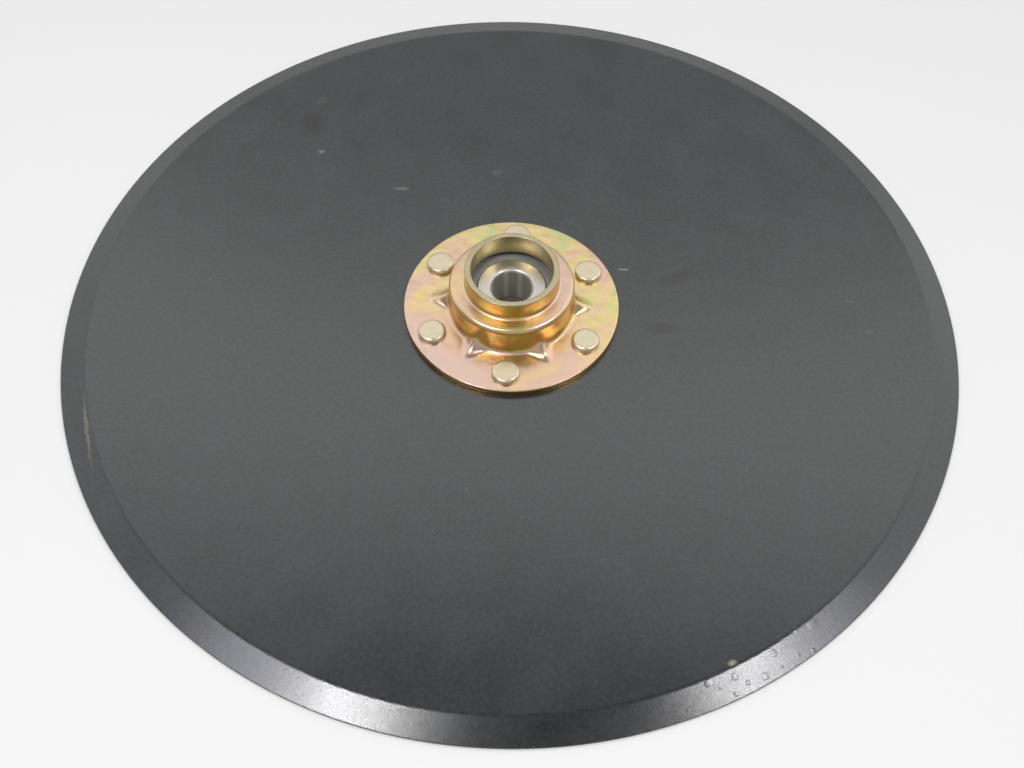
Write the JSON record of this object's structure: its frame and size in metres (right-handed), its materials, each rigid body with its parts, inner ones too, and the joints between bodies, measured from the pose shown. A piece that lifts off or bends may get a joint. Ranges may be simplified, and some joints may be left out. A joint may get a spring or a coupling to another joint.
{
  "type": "planter disc opener",
  "caption": "Flat round steel blade with a bevelled edge, riveted to a pressed hub that holds a sealed ball bearing. It turns on a spindle bolt and opens a furrow for seed.",
  "frame": {"origin": "centre of the blade's flat back, on the bearing's axis", "axes": "+Z along the bearing's axis from the blade's back to the hub; +X through the middle of a gusset"},
  "size_m": [0.3809, 0.381, 0.0292],
  "materials": {
    "blade_paint": "satin charcoal paint on steel",
    "yellow_zinc": "yellow passivated zinc plate on pressed steel",
    "rivet_zinc": "yellow passivated zinc plate on steel",
    "bearing_steel": "ground bearing steel",
    "cage_steel": "pressed steel strip",
    "seal_steel": "dull zinc plate on pressed steel",
    "seal_rubber": "black nitrile rubber",
    "ball_steel": "polished bearing steel"
  },
  "bodies": {
    "spindle_ring": {"bearing_inner_ring": "bearing_steel"},
    "disc": {"disc_blade": "blade_paint", "hub_housing": "yellow_zinc", "hub_rivets": "rivet_zinc", "bearing_outer_ring": "bearing_steel", "outer_seal_case": "seal_steel", "outer_seal_lip": "seal_rubber", "inner_seal_case": "seal_steel", "inner_seal_lip": "seal_rubber"},
    "ball_set": {"ball_1": "ball_steel", "ball_2": "ball_steel", "ball_3": "ball_steel", "ball_4": "ball_steel", "ball_5": "ball_steel", "ball_6": "ball_steel", "ball_7": "ball_steel", "ball_8": "ball_steel", "cage_upper_half": "cage_steel", "cage_lower_half": "cage_steel", "cage_rivets": "cage_steel"}
  },
  "joints": [
    {"name": "disc_spin", "type": "hinge", "parent": "spindle_ring", "child": "disc", "pos_m": [0, 0, 0.0105], "axis": [0, 0, 1], "continuous": true},
    {"name": "ball_set_spin", "type": "hinge", "parent": "spindle_ring", "child": "ball_set", "pos_m": [0, 0, 0.0105], "axis": [0, 0, 1], "continuous": true}
  ],
  "couplings": [
    {"joint": "ball_set_spin", "follows": "disc_spin", "ratio": 0.6185}
  ]
}
